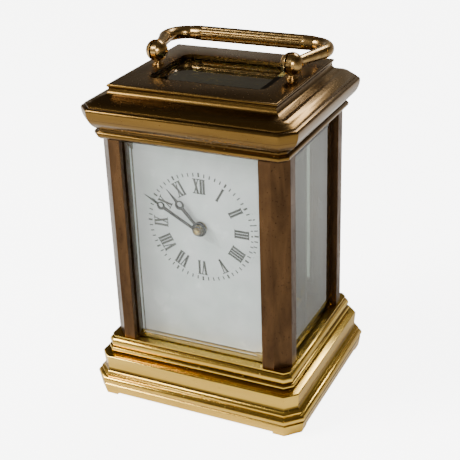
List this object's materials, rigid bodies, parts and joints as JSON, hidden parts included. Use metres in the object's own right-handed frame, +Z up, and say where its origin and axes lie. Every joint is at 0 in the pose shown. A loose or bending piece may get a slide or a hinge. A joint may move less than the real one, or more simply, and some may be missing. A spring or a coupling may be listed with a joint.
{
  "type": "carriage clock",
  "caption": "Small brass carriage clock: octagonal moulded case with bevelled panes, folding handle, glazed back door and a platform lever movement that drives the hands.",
  "frame": {"origin": "middle of the base on the surface the clock stands on", "axes": "+Z up, dial faces -Y, +X to the right of someone reading the dial"},
  "size_m": [0.056, 0.0494, 0.0851],
  "materials": {
    "gilt_brass": "polished, gilt",
    "lacquered_brass": "polished under old dark lacquer",
    "patinated_brass": "satin, mottled with age",
    "movement_brass": "brushed",
    "door_brass": "satin",
    "steel": "polished",
    "spring_steel": "blued grey",
    "blued_steel": "blue-black",
    "plate_glass": "clear, bevelled",
    "enamel": "gloss white",
    "ruby": "polished synthetic ruby"
  },
  "bodies": {
    "case": {"base_moulding": "gilt_brass", "cornice": "lacquered_brass", "pillar_front_left": "patinated_brass", "pillar_front_right": "patinated_brass", "pillar_back_left": "patinated_brass", "pillar_back_right": "patinated_brass", "case_tie_screws": "steel", "front_glass": "plate_glass", "left_glass": "plate_glass", "right_glass": "plate_glass", "top_glass": "plate_glass", "top_glass_retainer": "movement_brass", "retainer_screws": "steel", "handle_posts": "lacquered_brass", "handle_washers": "lacquered_brass", "handle_nuts": "movement_brass", "dial": "enamel", "dial_pins": "movement_brass", "front_plate": "movement_brass", "back_plate": "movement_brass", "plate_pillars": "movement_brass", "plate_screws": "steel", "movement_screws": "steel", "click_screw": "steel", "click_spring": "spring_steel", "platform": "movement_brass", "platform_screws": "blued_steel", "platform_jewels": "ruby", "escape_cock": "movement_brass", "lever_cock": "movement_brass", "hairspring": "spring_steel", "balance_cock": "movement_brass"},
    "handle": {"handle_bail": "lacquered_brass", "handle_pivot_pins": "lacquered_brass"},
    "door": {"door_frame": "door_brass", "door_glass": "plate_glass", "door_glass_bead": "door_brass", "door_hinge_pins": "steel"},
    "door_catch": {"door_knob": "door_brass"},
    "barrel": {"barrel_drum": "movement_brass", "barrel_cover": "movement_brass", "mainspring": "spring_steel"},
    "winding": {"barrel_arbor": "steel", "ratchet_wheel": "steel"},
    "click": {"click": "steel"},
    "intermediate": {"intermediate_arbor": "movement_brass"},
    "centre": {"centre_arbor": "movement_brass", "cannon_pinion": "steel", "minute_hand": "blued_steel", "hand_collet": "movement_brass"},
    "third": {"third_arbor": "movement_brass"},
    "contrate": {"contrate_arbor": "movement_brass"},
    "escape": {"escape_arbor": "movement_brass"},
    "minute_work": {"minute_wheel": "movement_brass"},
    "hour_work": {"hour_wheel": "movement_brass", "hour_hand": "blued_steel"},
    "setting": {"setting_arbor": "steel"},
    "lever": {"pallet_lever": "steel"},
    "balance": {"balance": "movement_brass"},
    "regulator": {"regulator": "steel"}
  },
  "joints": [
    {"name": "handle_fold", "type": "hinge", "parent": "case", "child": "handle", "pos_m": [0, 0, 0.08265], "axis": [1, 0, 0], "range_deg": [0, 180]},
    {"name": "door_swing", "type": "hinge", "parent": "case", "child": "door", "pos_m": [0.01589, 0.0185, 0.04105], "axis": [0, 0, -1], "range_deg": [0, 90]},
    {"name": "catch_turn", "type": "hinge", "parent": "door", "child": "door_catch", "pos_m": [-0.01513, 0.0185, 0.04105], "axis": [0, -1, 0], "range_deg": [0, 90]},
    {"name": "centre_turn", "type": "hinge", "parent": "case", "child": "centre", "pos_m": [0, 0, 0.046], "axis": [0, 1, 0], "continuous": true},
    {"name": "barrel_turn", "type": "hinge", "parent": "case", "child": "barrel", "pos_m": [-0.0025, 0, 0.0292], "axis": [0, 1, 0], "continuous": true},
    {"name": "intermediate_turn", "type": "hinge", "parent": "case", "child": "intermediate", "pos_m": [-0.00598, 0, 0.04068], "axis": [0, 1, 0], "continuous": true},
    {"name": "third_turn", "type": "hinge", "parent": "case", "child": "third", "pos_m": [0.00648, 0, 0.04974], "axis": [0, 1, 0], "continuous": true},
    {"name": "contrate_turn", "type": "hinge", "parent": "case", "child": "contrate", "pos_m": [0.00179, 0, 0.05367], "axis": [0, 1, 0], "continuous": true},
    {"name": "escape_turn", "type": "hinge", "parent": "case", "child": "escape", "pos_m": [0.00179, -0.00009, 0.061], "axis": [0, 0, 1], "continuous": true},
    {"name": "minute_wheel_turn", "type": "hinge", "parent": "case", "child": "minute_work", "pos_m": [0.00456, -0.0104, 0.04449], "axis": [0, 1, 0], "continuous": true},
    {"name": "hour_turn", "type": "hinge", "parent": "case", "child": "hour_work", "pos_m": [0, -0.0104, 0.046], "axis": [0, 1, 0], "continuous": true},
    {"name": "setting_turn", "type": "hinge", "parent": "case", "child": "setting", "pos_m": [0.00814, 0, 0.0413], "axis": [0, 1, 0], "continuous": true},
    {"name": "winding_turn", "type": "hinge", "parent": "case", "child": "winding", "pos_m": [-0.0025, 0, 0.0292], "axis": [0, -1, 0], "range_deg": [0, 2160]},
    {"name": "click_lift", "type": "hinge", "parent": "case", "child": "click", "pos_m": [0.00287, 0.01, 0.0323], "axis": [0, 1, 0], "range_deg": [0, 12], "deforming": ["click_spring"]},
    {"name": "lever_rock", "type": "hinge", "parent": "case", "child": "lever", "pos_m": [-0.00171, -0.00009, 0.061], "axis": [0, 0, 1], "range_deg": [-6, 6]},
    {"name": "balance_swing", "type": "hinge", "parent": "case", "child": "balance", "pos_m": [-0.00531, -0.00009, 0.061], "axis": [0, 0, 1], "range_deg": [-150, 150], "deforming": ["hairspring"]},
    {"name": "regulator_turn", "type": "hinge", "parent": "case", "child": "regulator", "pos_m": [-0.00531, -0.00009, 0.066], "axis": [0, 0, 1], "range_deg": [-25, 25]}
  ],
  "couplings": [
    {"joint": "barrel_turn", "follows": "centre_turn", "ratio": 0.020408},
    {"joint": "intermediate_turn", "follows": "centre_turn", "ratio": -0.14286},
    {"joint": "third_turn", "follows": "centre_turn", "ratio": -10},
    {"joint": "contrate_turn", "follows": "centre_turn", "ratio": 75},
    {"joint": "escape_turn", "follows": "centre_turn", "ratio": -600},
    {"joint": "minute_wheel_turn", "follows": "centre_turn", "ratio": -0.33333},
    {"joint": "hour_turn", "follows": "centre_turn", "ratio": 0.083333},
    {"joint": "setting_turn", "follows": "centre_turn", "ratio": 1}
  ]
}
